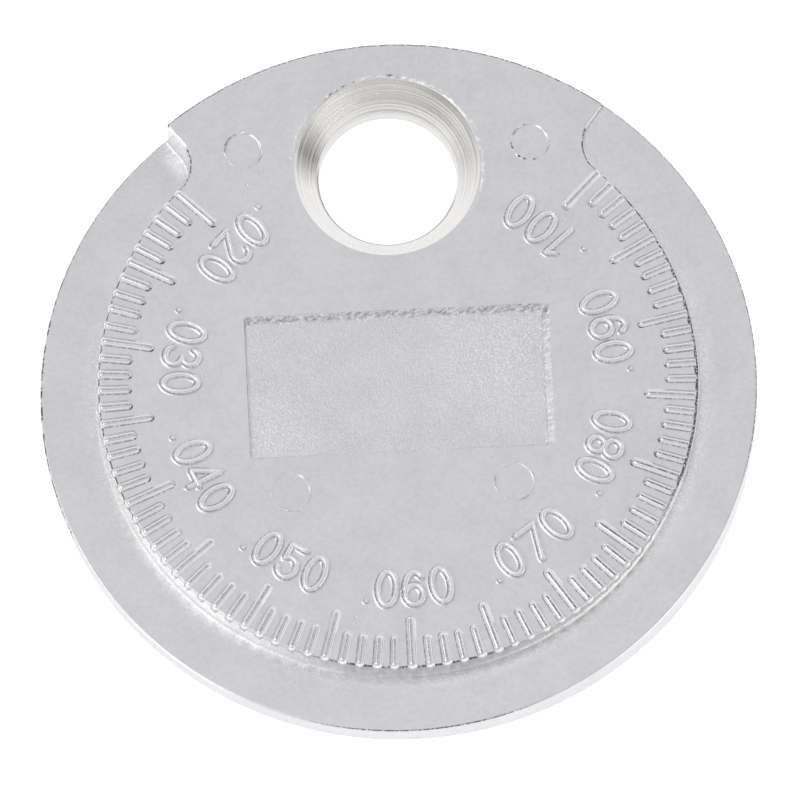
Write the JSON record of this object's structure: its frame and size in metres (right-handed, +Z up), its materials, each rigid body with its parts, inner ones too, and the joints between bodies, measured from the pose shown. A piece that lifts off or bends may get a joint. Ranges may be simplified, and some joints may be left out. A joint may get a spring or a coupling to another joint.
{
  "type": "spark plug gap gauge",
  "caption": "Round cast gap gauge: a helical ramp ring round a raised dial with raised marks, a shallow recess and a tapered hole for bending the electrode.",
  "frame": {"origin": "centre of the flat back, on the axis of the round disc", "axes": "+Z up out of the face with the scale, +Y from the centre towards the tapered hole, +X to the right"},
  "size_m": [0.036, 0.036, 0.0028],
  "materials": {
    "plated_casting": "bright plating over a zinc die casting, satin, with fine pits"
  },
  "bodies": {
    "root": {"gauge_disc": "plated_casting"}
  },
  "joints": []
}
